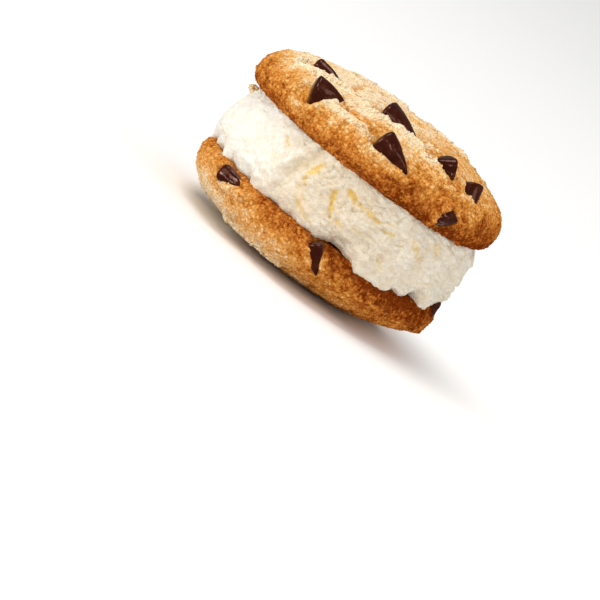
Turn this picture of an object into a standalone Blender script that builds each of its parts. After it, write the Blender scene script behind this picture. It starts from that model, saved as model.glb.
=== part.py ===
"""An ice cream cookie sandwich.

Two thick domed chocolate chip cookies, flat sides in, lie round a disc of vanilla ice cream. Metres, +Z up.
The origin is the middle of the small flat spot that the lower cookie's dome rests on.
The cookies and the filling are turned shapes, made uneven by functions of the place on their surface.
"""

import math

import bpy
from mathutils import Matrix, Vector, noise

MM = 0.001

# Driving dimensions
COOKIE_RADIUS = 39.3 * MM
RIM_HEIGHT = 3.9 * MM  # from a cookie's flat base to its widest circle
BASE_INSET = 3.0 * MM  # how far the flat base stays inside the widest circle
TOP_DOME = 13.3 * MM  # height of the upper cookie's dome over its widest circle
BOTTOM_DOME = 12.9 * MM
TOP_POWER, BOTTOM_POWER = 2.5, 2.2  # 2 is an ellipse, more is flatter on top with a steeper side
TOP_LEAN = 0.022  # how much the upper dome rises towards +X, for each metre
REST_CUT = 0.5 * MM  # how much of the lower dome is flattened where it rests
FILLING_HEIGHT = 19.1 * MM  # between the two flat bases
GAP = 0.35 * MM  # left between neighbouring pieces

# Levels that follow from them
BOTTOM_BASE = BOTTOM_DOME - REST_CUT + RIM_HEIGHT
TOP_BASE = BOTTOM_BASE + FILLING_HEIGHT

# The filling's side
FILLING_LOW_RADIUS = 36.4 * MM
FILLING_MID_RADIUS = 38.9 * MM
FILLING_TOP_RADIUS = 35.6 * MM
FILLING_BULGE_POWER = 2.6
FILLING_TUCK = 2.4 * MM  # how far the uncut filling reaches into each cookie
LEFT_INSET = 1.8 * MM  # how much further in the side is at the left, but for a swelling half way up
LEFT_SWELL, LEFT_SWELL_LEVEL, LEFT_SWELL_SPAN = 1.9 * MM, 6.6 * MM, 5.0 * MM
LIP_REACH = 1.9 * MM  # how far the squeezed-out lip at the bottom hangs over the lower cookie
LIP_SPAN = 5.0 * MM

# Facets, before and after they are thinned
COOKIE_STEPS = 170
DOME_RINGS = 36
RIM_RINGS = 5
BASE_RINGS = 2
TOP_COOKIE_FACETS = 3500
BOTTOM_COOKIE_FACETS = 2400
FILLING_STEPS = 130
FILLING_RINGS = 22
FILLING_FACETS = 2100
CHIP_SEGMENTS = 9
CHIP_RINGS = 6

# Uneven outlines: how many waves round the rim, their share of the radius, and their turn
TOP_WAVES = ((2, 0.004, 0.4), (3, 0.006, 2.0), (5, 0.004, 1.1), (9, 0.003, 0.3))
BOTTOM_WAVES = ((2, 0.005, 1.9), (3, 0.004, 0.5), (6, 0.004, 2.4), (11, 0.004, 0.9))
TOP_SEED, BOTTOM_SEED = 4.0, 9.0
TOP_SHAPE = (TOP_DOME, TOP_POWER, TOP_LEAN)
BOTTOM_SHAPE = (BOTTOM_DOME, BOTTOM_POWER, 0.0)

# Relief of the crust: size of the lumps and their height, and how the cracks run
BROAD_LUMP, BROAD_HEIGHT = 11.0 * MM, 0.45 * MM
SMALL_LUMP, SMALL_HEIGHT = 4.2 * MM, 0.28 * MM
CRACK_SPACING, CRACK_DEPTH, CRACK_WIDTH = 15.0 * MM, 0.9 * MM, 0.075
LEDGE_STEP, LEDGE_WIDTH = 1.0 * MM, 1.3 * MM
CHIP_LIP_HEIGHT, CHIP_LIP_WIDTH = 1.1 * MM, 1.5 * MM
CHIP_PIT_DEPTH = 0.6 * MM

# Ledges in the upper crust, where the dough nearer the rim stands over the dough behind: plan x and y
TOP_LEDGES = (
    ((13.8, -28.4), (19.1, -28.2), (22.3, -27.4), (27.2, -22.2), (30.0, -20.5)),
    ((-15.1, -32.4), (-10.3, -33.5), (-4.0, -35.8)),
    ((10.2, -19.3), (16.8, -17.9)),
    ((21.5, -28.7), (25.2, -31.5)),
    ((-17.0, 9.0), (-10.0, 14.0), (-2.0, 15.0)),
    ((8.0, 20.0), (15.0, 17.0), (19.0, 10.0)),
)
BOTTOM_LEDGES = (
    ((-20.0, 21.0), (-12.0, 27.0), (-3.0, 29.0)),
    ((16.0, -28.0), (24.0, -22.0), (28.0, -13.0)),
)

# Relief of the ice cream: folds that lean, and crags on them
FOLD_SIZE, FOLD_HEIGHT = 10.0 * MM, 1.0 * MM
CRAG_SIZE, CRAG_HEIGHT = 3.2 * MM, 0.3 * MM

CRUST_COLOUR = (0.62, 0.36, 0.14, 1.0)
ICE_CREAM_COLOUR = (0.93, 0.88, 0.74, 1.0)
CHOCOLATE_COLOUR = (0.055, 0.018, 0.010, 1.0)

# Chips, in millimetres in the upright sandwich: plan x and y of the middle, its height over the cookie's
# widest circle towards its dome (None: on the dome), depth sunk, the way the tip points, length from base
# to tip, width of the base, number of soft corners and their turn in degrees
TOP_CHIPS = (
    (-21.8, -17.2, None, 0.7, (0.88, -0.55, 0.12), 11.4, 7.0, 4, 20),
    (-18.9, -29.6, None, 0.4, (0.95, 0.12, 0.24), 10.2, 9.2, 3, 70),
    (0.8, -23.0, None, 0.4, (0.99, -0.14, 0.00), 12.4, 10.0, 3, 10),
    (4.3, -36.6, None, 0.9, (0.95, -0.20, -0.20), 12.0, 9.2, 3, 95),
    (15.2, -25.4, None, 0.8, (-0.85, -0.40, -0.35), 9.8, 7.4, 4, 40),
    (27.2, -21.7, None, 0.9, (0.50, -0.46, -0.66), 8.8, 7.0, 3, 30),
    (24.8, -31.0, 2.0, 1.7, (-0.55, 0.35, 0.60), 7.6, 6.6, 4, 15),
    (-24.5, 26.0, None, 1.6, (-0.70, 0.50, -0.10), 8.6, 7.0, 4, 50),
    (-7.0, 31.5, None, 1.7, (0.90, 0.30, 0.00), 8.8, 7.2, 3, 80),
    (12.0, 31.0, None, 1.7, (-0.60, 0.60, -0.20), 8.8, 7.2, 4, 0),
    (25.5, 24.5, None, 1.7, (0.50, -0.70, 0.05), 8.8, 7.2, 3, 25),
)
BOTTOM_CHIPS = (
    (-25.3, -30.4, -1.2, 0.5, (0.78, -0.60, 0.05), 11.0, 5.4, 4, 30),
    (4.6, -39.0, 1.0, 0.9, (0.62, 0.05, -0.78), 9.4, 5.0, 3, 0),
    (38.2, -6.8, -3.4, 0.3, (0.35, 0.65, 0.60), 8.4, 5.6, 4, 60),
    (-14.0, 36.5, 1.0, 0.9, (0.90, 0.30, 0.10), 8.8, 6.4, 3, 45),
    (-33.0, 21.5, 0.6, 1.0, (0.50, 0.80, -0.20), 8.8, 6.2, 3, 45),
    (-30.5, 6.0, None, 2.5, (-0.20, 0.95, 0.25), 8.8, 7.4, 3, 35),
    (29.0, 11.6, None, 2.5, (-0.30, 0.90, 0.30), 9.2, 7.6, 4, 55),
    (3.0, 30.6, None, 2.5, (0.95, 0.10, 0.25), 9.0, 7.6, 4, 20),
)


def smooth(low, high, value):
    """0 at low, 1 at high, and a soft step between."""
    share = min(1.0, max(0.0, (value - low) / (high - low)))
    return share * share * (3 - 2 * share)


def bell(distance, width):
    return math.exp(-((distance / width) ** 2))


def outline(waves, theta):
    """The rim's radius there, as a share of the plain circle's."""
    return 1 + sum(share * math.cos(count * theta + turn) for count, share, turn in waves)


def wobble(point, size, seed):
    """Smooth noise from -1 to 1 with features of that size."""
    return noise.noise(Vector(point) / size + Vector((seed, 2 * seed, -seed)))


def crust_profile(dome, power):
    """(radius, height) from the pole over the dome and round the rim to the middle of the flat base, at 0."""
    points = []
    for i in range(DOME_RINGS):
        turn = math.pi / 2 * i / DOME_RINGS
        across = math.sin(turn) ** (2 / power)
        up = math.cos(turn) ** (2 / power)
        points.append((COOKIE_RADIUS * across, RIM_HEIGHT + dome * up))
    for i in range(RIM_RINGS + 1):
        turn = math.pi / 2 * i / RIM_RINGS
        radius = COOKIE_RADIUS - BASE_INSET * (1 - math.cos(turn))
        points.append((radius, RIM_HEIGHT * (1 - math.sin(turn))))
    base_radius = COOKIE_RADIUS - BASE_INSET
    for i in range(1, BASE_RINGS + 1):
        points.append((base_radius * (1 - i / BASE_RINGS), 0.0))
    return points


def crust_frame(shape, x, y, level):
    """A point of the smooth crust and the way out there, in the cookie's own frame."""
    dome, power, lean = shape
    radius = math.hypot(x, y)
    height = 0.0 if level is None else level * MM
    if level is None:
        height = dome * max(0.0, 1 - (radius / COOKIE_RADIUS) ** power) ** (1 / power)
    elif height >= 0:
        radius = COOKIE_RADIUS * (1 - (height / dome) ** power) ** (1 / power)
    else:
        radius = COOKIE_RADIUS - BASE_INSET * (1 - math.sqrt(1 - (height / RIM_HEIGHT) ** 2))
    heading = Vector((x, y, 0)).normalized()
    if height >= 0:
        outward = heading * (radius / COOKIE_RADIUS) ** (power - 1) / COOKIE_RADIUS
        upward = (height / dome) ** (power - 1) / dome
    else:
        outward = heading * (radius - COOKIE_RADIUS + BASE_INSET) / BASE_INSET**2
        upward = height / RIM_HEIGHT**2
    point = heading * radius + Vector((0, 0, RIM_HEIGHT + height))
    point.z += lean * point.x * max(0.0, height / dome)
    return point, (outward + Vector((0, 0, upward))).normalized()


def ledge_step(point, ledge):
    """The S-shaped step of a ledge at a point: up on the rim's side, down on the other."""
    nearest = None
    best = 1.0
    flat = Vector((point.x, point.y))
    for start, end in zip(ledge, ledge[1:]):
        first = Vector(start) * MM
        along = Vector(end) * MM - first
        share = min(1.0, max(0.0, (flat - first).dot(along) / along.length_squared))
        spot = first + along * share
        if (flat - spot).length < best:
            best = (flat - spot).length
            nearest = spot
    if nearest is None or best > 4 * LEDGE_WIDTH:
        return 0.0
    side = math.copysign(best, flat.length - nearest.length)
    raised = bell(side - 0.8 * LEDGE_WIDTH, LEDGE_WIDTH)
    return LEDGE_STEP * (raised - bell(side + 0.7 * LEDGE_WIDTH, LEDGE_WIDTH))


def chip_nest(point, base, tip, width, seed):
    """How the dough lies round a chip: sunk under it, and swollen at the side towards the rim."""
    along = tip - base
    share = min(1.0, max(0.0, (point - base).dot(along) / along.length_squared))
    spot = base + along * share
    away = (point - spot).length - width / 2 * (1 - 0.75 * share)
    if away > 4 * CHIP_LIP_WIDTH:
        return 0.0
    outward = Vector((point.x - spot.x, point.y - spot.y, 0)).normalized()
    facing = 0.5 + 0.5 * outward.dot(Vector((spot.x, spot.y, 0)).normalized())
    ragged = 0.6 + 0.7 * facing + 0.6 * wobble(point, 0.7 * SMALL_LUMP, seed + 31)
    swollen = CHIP_LIP_HEIGHT * ragged * facing * bell(away - 0.7 * MM, CHIP_LIP_WIDTH)
    return swollen - CHIP_PIT_DEPTH * smooth(0.3 * MM, -1.5 * MM, away)


def crust_relief(point, nests, ledges, seed):
    """How far the crust stands out from its smooth shape at a point of the cookie's own frame."""
    relief = BROAD_HEIGHT * wobble(point, BROAD_LUMP, seed)
    relief += SMALL_HEIGHT * wobble(point, SMALL_LUMP, seed + 7)
    cracked = smooth(0.0, 0.3, wobble(point, 1.4 * CRACK_SPACING, seed + 20))
    cracked *= smooth(36 * MM, 29 * MM, math.hypot(point.x, point.y))
    relief -= CRACK_DEPTH * cracked * bell(wobble(point, CRACK_SPACING, seed + 13), CRACK_WIDTH)
    relief += sum(ledge_step(point, ledge) for ledge in ledges)
    return relief + sum(chip_nest(point, *nest, seed) for nest in nests)


def material(name, colour, roughness):
    made = bpy.data.materials.new(name)
    made.use_nodes = True
    shader = made.node_tree.nodes["Principled BSDF"]
    shader.inputs["Base Color"].default_value = colour
    shader.inputs["Roughness"].default_value = roughness
    return made


def turned(name, profile, steps):
    """A closed mesh object, turned about +Z from a profile that starts and ends on the axis."""
    mesh = bpy.data.meshes.new(name + "_profile")
    points = [(radius, 0.0, height) for radius, height in profile]
    mesh.from_pydata(points, [(i, i + 1) for i in range(len(points) - 1)], [])
    rough = bpy.data.objects.new(name + "_profile", mesh)
    bpy.context.scene.collection.objects.link(rough)
    screw = rough.modifiers.new("Turn", "SCREW")
    screw.steps = steps
    screw.render_steps = steps
    screw.use_merge_vertices = True
    screw.merge_threshold = 0.00001
    return baked(rough, name)


def baked(source, name):
    """Applies an object's modifiers into a new mesh object of that name, and removes the source."""
    bpy.context.view_layer.update()
    graph = bpy.context.evaluated_depsgraph_get()
    mesh = bpy.data.meshes.new_from_object(source.evaluated_get(graph))
    mesh.name = name
    made = bpy.data.objects.new(name, mesh)
    made.matrix_world = source.matrix_world.copy()
    bpy.context.scene.collection.objects.link(made)
    bpy.data.objects.remove(source)
    return made


def thinned(piece, facets):
    """Takes the mesh down to about that many triangles, keeping its ridges and creases."""
    name = piece.name
    piece.data.calc_loop_triangles()
    reduce = piece.modifiers.new("Thin", "DECIMATE")
    reduce.ratio = facets / len(piece.data.loop_triangles)
    piece.name = name + "_fine"
    return baked(piece, name)


def cookie(name, shape, waves, nests, ledges, seed, facets, floor=None):
    """A cookie in its own frame, flat base at 0 and dome up. floor levels the top of the dome there."""
    dome, power, lean = shape
    piece = turned(name, crust_profile(dome, power), COOKIE_STEPS)
    normals = [v.normal.copy() for v in piece.data.vertices]
    for vertex, normal in zip(piece.data.vertices, normals):
        point = vertex.co.copy()
        radius = math.hypot(point.x, point.y)
        wide = outline(waves, math.atan2(point.y, point.x)) if radius > 0 else 1.0
        on_base = point.z < 0.01 * MM and radius < COOKIE_RADIUS - BASE_INSET + 0.01 * MM
        relief = 0.0 if on_base else crust_relief(point, nests, ledges, seed)
        if floor is not None:
            relief *= smooth(12 * MM, 24 * MM, radius)
        spread = 1 + (wide - 1) * smooth(0.0, COOKIE_RADIUS, radius)
        leaning = lean * point.x * max(0.0, (point.z - RIM_HEIGHT) / dome)
        vertex.co = Vector((point.x * spread, point.y * spread, point.z + leaning)) + normal * relief
        if floor is not None:
            vertex.co.z = min(vertex.co.z, floor)
    piece = thinned(piece, facets)
    for vertex in piece.data.vertices:
        vertex.co.z = max(0.0, vertex.co.z)
        if floor is not None:
            vertex.co.z = min(vertex.co.z, floor)
    return piece


def lip_share(theta):
    """How strongly the ice cream is squeezed out over the lower cookie there, from 0 to 1."""
    around = Vector((math.cos(theta), math.sin(theta), 0)) * COOKIE_RADIUS
    broad = 0.55 + 0.9 * wobble(around, 13 * MM, 3.0)
    small = 0.6 * wobble(around, 4.6 * MM, 8.0)
    return min(1.0, max(0.0, broad + small))


def filling_profile():
    """(radius, height) of the uncut filling, top to bottom, before its relief."""
    low = BOTTOM_BASE - FILLING_TUCK
    high = TOP_BASE + FILLING_TUCK
    points = [(0.0, high), (0.6 * FILLING_TOP_RADIUS, high)]
    for i in range(FILLING_RINGS + 1):
        share = 1 - i / FILLING_RINGS
        ends = FILLING_TOP_RADIUS if share > 0.5 else FILLING_LOW_RADIUS
        bulge = abs(2 * share - 1) ** FILLING_BULGE_POWER
        points.append((FILLING_MID_RADIUS - (FILLING_MID_RADIUS - ends) * bulge, low + (high - low) * share))
    points += [(0.6 * FILLING_LOW_RADIUS, low), (0.0, low)]
    return points


def filling_relief(point, theta):
    """How far the ice cream's side stands out from the smooth bulge: rounded folds, sharp valleys."""
    leaning = Vector((point.x + 0.5 * point.z, point.y, 1.5 * point.z - 0.4 * point.x))
    bent = leaning + Vector((1, 1, 1)) * 2.5 * MM * wobble(point, 12 * MM, 5.0)
    calm = 1 - 0.55 * smooth(-8 * MM, -30 * MM, point.x)
    relief = FOLD_HEIGHT * (1.9 * abs(wobble(bent, FOLD_SIZE, 11.0)) - 0.5) * calm
    relief += CRAG_HEIGHT * wobble(leaning, CRAG_SIZE, 17.0)
    swell = LEFT_SWELL * bell(point.z - BOTTOM_BASE - LEFT_SWELL_LEVEL, LEFT_SWELL_SPAN)
    relief += (swell - LEFT_INSET) * smooth(0.0, -34 * MM, point.x)
    above_lip = point.z - (BOTTOM_BASE - FILLING_TUCK)
    relief += LIP_REACH * lip_share(theta) * bell(above_lip - 2.2 * MM, LIP_SPAN)
    sunk_low = 1 - lip_share(theta)
    return relief - 2.5 * MM * sunk_low * (1 - smooth(0.0, FILLING_TUCK + 2 * MM, above_lip))


def filling():
    """The ice cream before its neighbours are cut out of it."""
    piece = turned("ice_cream", filling_profile(), FILLING_STEPS)
    for vertex in piece.data.vertices:
        point = vertex.co.copy()
        radius = math.hypot(point.x, point.y)
        if radius > 0.9 * FILLING_TOP_RADIUS:
            theta = math.atan2(point.y, point.x)
            grown = 1 + filling_relief(point, theta) / radius
            vertex.co.x *= grown
            vertex.co.y *= grown
    return thinned(piece, FILLING_FACETS)


def chip(name, length, width, corners, turn):
    """A chocolate chip in its own frame: a nearly flat round base at 0, soft corners, a blunt tip on +Z."""
    bpy.ops.mesh.primitive_uv_sphere_add(segments=CHIP_SEGMENTS, ring_count=CHIP_RINGS, radius=1.0)
    made = bpy.context.object
    made.name = name
    for vertex in made.data.vertices:
        share = (vertex.co.z + 1) / 2
        theta = math.atan2(vertex.co.y, vertex.co.x)
        rounded = math.sqrt(1 - (1 - min(1.0, share / 0.13)) ** 2)
        taper = (1 - min(1.0, share) ** 1.45) ** 0.82
        corner = 1 + 0.08 * math.cos(corners * theta + math.radians(turn))
        radius = width / 2 * rounded * taper * corner * 1.05
        across = math.hypot(vertex.co.x, vertex.co.y)
        if across > 1e-6:
            vertex.co.x *= radius / across
            vertex.co.y *= radius / across
        vertex.co.z = length * share
    return made


def chip_seat(spot, shape, placed):
    """Base and tip of a chip in the world."""
    x, y, level, sunk, pointing, length, *_ = spot
    turned_over = placed.to_3x3()[2][2] < 0
    point, outward = crust_frame(shape, x * MM, (-y if turned_over else y) * MM, level)
    middle = placed @ (point - outward * sunk * MM)
    half = Vector(pointing).normalized() * length * MM / 2
    return middle - half, middle + half


def chips_of(prefix, spots, shape, placed, paint):
    """Makes a cookie's chips where the table says, in the world, each a separate solid."""
    made = []
    for i, spot in enumerate(spots, 1):
        *_, length, width, corners, turn = spot
        base, tip = chip_seat(spot, shape, placed)
        piece = chip(f"{prefix}_{i:02d}", length * MM, width * MM, corners, turn)
        lean = Vector((0, 0, 1)).rotation_difference(tip - base).to_matrix().to_4x4()
        piece.matrix_world = Matrix.Translation(base) @ lean
        piece.data.materials.append(paint)
        for face in piece.data.polygons:
            face.use_smooth = True
        made.append(piece)
    return made


def nests_of(spots, shape, placed):
    """Base, tip and width of each chip in the cookie's own frame, for the dough round it."""
    home = placed.inverted()
    return [(*(home @ end for end in chip_seat(spot, shape, placed)), spot[6] * MM) for spot in spots]


def cutter_of(piece, collection):
    """A copy pushed out by the gap all over, for cutting a neighbour clear of it."""
    made = bpy.data.objects.new(piece.name + "_cutter", piece.data.copy())
    collection.objects.link(made)
    made.matrix_world = piece.matrix_world.copy()
    normals = [v.normal.copy() for v in made.data.vertices]
    for vertex, normal in zip(made.data.vertices, normals):
        vertex.co += normal * GAP
    made.hide_render = True
    made.display_type = "WIRE"
    return made


def cut_clear(piece, cutters):
    """Cuts each cutter out of the piece."""
    name = piece.name
    for cutter in cutters:
        cut = piece.modifiers.new(cutter.name, "BOOLEAN")
        cut.operation = "DIFFERENCE"
        cut.object = cutter
    piece.name = name + "_uncut"
    return baked(piece, name)


def near(piece, others):
    """The others that have a corner inside the piece's own height band."""
    heights = [(piece.matrix_world @ v.co).z for v in piece.data.vertices]
    low, high = min(heights), max(heights)
    return [o for o in others if any(low < (o.matrix_world @ v.co).z < high for v in o.data.vertices)]


def main():
    for old in list(bpy.data.objects):
        bpy.data.objects.remove(old)
    sandwich = bpy.data.collections.new("cookie_sandwich")
    cutters = bpy.data.collections.new("cutters")
    for group in (sandwich, cutters):
        bpy.context.scene.collection.children.link(group)
    cutters.hide_render = True

    crust = material("crust", CRUST_COLOUR, 0.8)
    cream = material("ice_cream", ICE_CREAM_COLOUR, 0.45)
    chocolate = material("chocolate", CHOCOLATE_COLOUR, 0.3)

    upright = Matrix.Translation((0, 0, TOP_BASE))
    over = Matrix.Translation((0, 0, BOTTOM_BASE)) @ Matrix.Rotation(math.pi, 4, "X")
    top_chips = chips_of("top_chip", TOP_CHIPS, TOP_SHAPE, upright, chocolate)
    bottom_chips = chips_of("bottom_chip", BOTTOM_CHIPS, BOTTOM_SHAPE, over, chocolate)

    nests = nests_of(TOP_CHIPS, TOP_SHAPE, upright)
    top = cookie("top_cookie", TOP_SHAPE, TOP_WAVES, nests, TOP_LEDGES, TOP_SEED, TOP_COOKIE_FACETS)
    top.matrix_world = upright
    nests = nests_of(BOTTOM_CHIPS, BOTTOM_SHAPE, over)
    bottom = cookie(
        "bottom_cookie", BOTTOM_SHAPE, BOTTOM_WAVES, nests, BOTTOM_LEDGES, BOTTOM_SEED,
        BOTTOM_COOKIE_FACETS, BOTTOM_BASE,
    )
    bottom.matrix_world = over
    cream_disc = filling()

    bpy.context.view_layer.update()
    cookie_cutters = [cutter_of(piece, cutters) for piece in (top, bottom)]
    top_cutters = [cutter_of(piece, cutters) for piece in top_chips]
    bottom_cutters = [cutter_of(piece, cutters) for piece in bottom_chips]
    top = cut_clear(top, top_cutters)
    bottom = cut_clear(bottom, bottom_cutters)
    beside = near(cream_disc, top_cutters + bottom_cutters)
    cream_disc = cut_clear(cream_disc, beside + cookie_cutters)

    for piece, paint in ((top, crust), (bottom, crust), (cream_disc, cream)):
        piece.data.materials.clear()
        piece.data.materials.append(paint)
    for piece in [top, bottom, cream_disc, *top_chips, *bottom_chips]:
        for group in list(piece.users_collection):
            group.objects.unlink(piece)
        sandwich.objects.link(piece)


main()
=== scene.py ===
import math

import bpy
from mathutils import Matrix, Vector, noise


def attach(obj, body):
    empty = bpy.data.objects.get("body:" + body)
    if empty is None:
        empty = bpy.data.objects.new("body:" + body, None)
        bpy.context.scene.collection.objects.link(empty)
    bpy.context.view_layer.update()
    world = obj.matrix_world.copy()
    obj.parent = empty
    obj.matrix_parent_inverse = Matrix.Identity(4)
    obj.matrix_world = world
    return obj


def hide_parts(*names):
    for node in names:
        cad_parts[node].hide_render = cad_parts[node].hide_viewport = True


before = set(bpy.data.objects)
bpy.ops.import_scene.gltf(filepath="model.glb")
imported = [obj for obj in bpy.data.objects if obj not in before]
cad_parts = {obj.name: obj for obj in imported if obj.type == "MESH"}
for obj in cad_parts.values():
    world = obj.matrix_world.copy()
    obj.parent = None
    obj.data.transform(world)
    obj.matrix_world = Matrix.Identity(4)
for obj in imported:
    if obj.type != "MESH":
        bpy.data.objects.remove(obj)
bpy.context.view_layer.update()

MM = 0.001

# The sandwich's own sizes, as in the solids
COOKIE_RADIUS = 39.3 * MM
RIM_HEIGHT = 3.9 * MM
BASE_INSET = 3.0 * MM
TOP_DOME = 13.3 * MM
BOTTOM_DOME = 12.9 * MM
TOP_POWER, BOTTOM_POWER = 2.5, 2.2
TOP_LEAN = 0.022
REST_CUT = 0.5 * MM
FILLING_HEIGHT = 19.1 * MM
BOTTOM_BASE = BOTTOM_DOME - REST_CUT + RIM_HEIGHT
TOP_BASE = BOTTOM_BASE + FILLING_HEIGHT

# The ice cream's bulging side, how far it reaches into each cookie, and its left side, which is set in
# but for a swelling half way up
FILLING_LOW_RADIUS = 36.4 * MM
FILLING_MID_RADIUS = 38.9 * MM
FILLING_TOP_RADIUS = 35.6 * MM
FILLING_BULGE_POWER = 2.6
FILLING_TUCK = 2.4 * MM
LEFT_INSET = 1.8 * MM
LEFT_SWELL, LEFT_SWELL_LEVEL, LEFT_SWELL_SPAN = 1.9 * MM, 6.6 * MM, 5.0 * MM

# Waves in a cookie's outline: how many go round it, their share of the radius, and their turn
TOP_WAVES = ((2, 0.004, 0.4), (3, 0.006, 2.0), (5, 0.004, 1.1), (9, 0.003, 0.3))
BOTTOM_WAVES = ((2, 0.005, 1.9), (3, 0.004, 0.5), (6, 0.004, 2.4), (11, 0.004, 0.9))
TOP_SEED, BOTTOM_SEED = 4.0, 9.0
TOP_SHAPE = (TOP_DOME, TOP_POWER, TOP_LEAN)
BOTTOM_SHAPE = (BOTTOM_DOME, BOTTOM_POWER, 0.0)

# The crust's lumps, cracks and ledges, the lips and pits round its chips, and its dips, grains and pores
BROAD_LUMP, BROAD_HEIGHT = 11.0 * MM, 0.45 * MM
SMALL_LUMP, SMALL_HEIGHT = 4.2 * MM, 0.28 * MM
CRACK_SPACING, CRACK_DEPTH, CRACK_WIDTH = 15.0 * MM, 0.9 * MM, 0.075
LEDGE_STEP, LEDGE_WIDTH = 1.0 * MM, 1.3 * MM
CHIP_LIP_HEIGHT, CHIP_LIP_WIDTH = 1.1 * MM, 1.5 * MM
CHIP_PIT_DEPTH = 0.6 * MM
# The second dip number darkens the dough in the dips, as painted shade.
DIP_DEPTH, DIP_SHADE = 1.1 * MM, 0.45
GRAIN_SIZE, GRAIN_HEIGHT = 1.15 * MM, 0.34 * MM
PORE_SIZE, PORE_DEPTH = 1.7 * MM, 0.35 * MM
TEAR_SIZE, TEAR_HEIGHT = 2.3 * MM, 0.2 * MM
# The underside near the resting spot is smooth and has no loose grains
BARE_RADIUS, CALM_RADIUS = 15 * MM, 24 * MM

# The ice cream's folds and crags, the drawn lines of the scoop, its torn surface and its pits
FOLD_SIZE, FOLD_HEIGHT = 10.0 * MM, 1.0 * MM
CRAG_SIZE, CRAG_HEIGHT = 3.2 * MM, 0.3 * MM
DRAWN_SIZE, DRAWN_HEIGHT = 1.9 * MM, 0.85 * MM
TORN_SIZE, TORN_HEIGHT = 2.4 * MM, 0.8 * MM
HOLLOW_DEPTH, PIT_DEPTH = 0.75 * MM, 0.3 * MM
SCOOP_STEP_UP, SCOOP_STEP_DOWN, SCOOP_STEP_WIDTH = 0.9 * MM, 0.7 * MM, 1.4 * MM
# How far it goes into the upper cookie, and the ragged lip at its foot
CREAM_SINK = 0.5 * MM
LIP_HANG, LIP_RAISED, LIP_RAGGED = 3.0 * MM, 0.5 * MM, 0.5 * MM
LIP_REACH, LIP_SPAN, LIP_INSET, LIP_CURL = 1.9 * MM, 5.0 * MM, 2.2 * MM, 0.9 * MM
TUCK_RISE, TUCK_SAG, TUCK_SHARE = 0.8 * MM, 0.35 * MM, 0.14

# A chip's rounded base, taper and soft corners, and its two kinds of dents
CHIP_ROUNDING, CHIP_TAPER, CHIP_FULLNESS = 0.13, 1.45, 0.82
CHIP_CORNER, CHIP_GIRTH = 0.08, 1.05
BROAD_DENT, BROAD_DENT_DEPTH = 2.8 * MM, 0.20 * MM
SMALL_DENT, SMALL_DENT_DEPTH = 1.1 * MM, 0.05 * MM

# Ledges in each crust, as a line of places in plan
TOP_LEDGES = (
    ((13.8, -28.4), (19.1, -28.2), (22.3, -27.4), (27.2, -22.2), (30.0, -20.5)),
    ((-15.1, -32.4), (-10.3, -33.5), (-4.0, -35.8)),
    ((10.2, -19.3), (16.8, -17.9)),
    ((21.5, -28.7), (25.2, -31.5)),
    ((-17.0, 9.0), (-10.0, 14.0), (-2.0, 15.0)),
    ((8.0, 20.0), (15.0, 17.0), (19.0, 10.0)),
)
BOTTOM_LEDGES = (
    ((-20.0, 21.0), (-12.0, 27.0), (-3.0, 29.0)),
    ((16.0, -28.0), (24.0, -22.0), (28.0, -13.0)),
)
# Plan x and y, height over the widest circle (None: on the dome), depth sunk, the way the tip points,
# length, width, soft corners and their turn
TOP_CHIPS = (
    (-21.8, -17.2, None, 0.7, (0.88, -0.55, 0.12), 11.4, 7.0, 4, 20),
    (-18.9, -29.6, None, 0.4, (0.95, 0.12, 0.24), 10.2, 9.2, 3, 70),
    (0.8, -23.0, None, 0.4, (0.99, -0.14, 0.00), 12.4, 10.0, 3, 10),
    (4.3, -36.6, None, 0.9, (0.95, -0.20, -0.20), 12.0, 9.2, 3, 95),
    (15.2, -25.4, None, 0.8, (-0.85, -0.40, -0.35), 9.8, 7.4, 4, 40),
    (27.2, -21.7, None, 0.9, (0.50, -0.46, -0.66), 8.8, 7.0, 3, 30),
    (24.8, -31.0, 2.0, 1.7, (-0.55, 0.35, 0.60), 7.6, 6.6, 4, 15),
    (-24.5, 26.0, None, 1.6, (-0.70, 0.50, -0.10), 8.6, 7.0, 4, 50),
    (-7.0, 31.5, None, 1.7, (0.90, 0.30, 0.00), 8.8, 7.2, 3, 80),
    (12.0, 31.0, None, 1.7, (-0.60, 0.60, -0.20), 8.8, 7.2, 4, 0),
    (25.5, 24.5, None, 1.7, (0.50, -0.70, 0.05), 8.8, 7.2, 3, 25),
)
BOTTOM_CHIPS = (
    (-25.3, -30.4, -1.2, 0.5, (0.78, -0.60, 0.05), 11.0, 5.4, 4, 30),
    (4.6, -39.0, 1.0, 0.9, (0.62, 0.05, -0.78), 9.4, 5.0, 3, 0),
    (38.2, -6.8, -3.4, 0.3, (0.35, 0.65, 0.60), 8.4, 5.6, 4, 60),
    (-14.0, 36.5, 1.0, 0.9, (0.90, 0.30, 0.10), 8.8, 6.4, 3, 45),
    (-33.0, 21.5, 0.6, 1.0, (0.50, 0.80, -0.20), 8.8, 6.2, 3, 45),
    (-30.5, 6.0, None, 2.5, (-0.20, 0.95, 0.25), 8.8, 7.4, 3, 35),
    (29.0, 11.6, None, 2.5, (-0.30, 0.90, 0.30), 9.2, 7.6, 4, 55),
    (3.0, 30.6, None, 2.5, (0.95, 0.10, 0.25), 9.0, 7.6, 4, 20),
)

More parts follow.
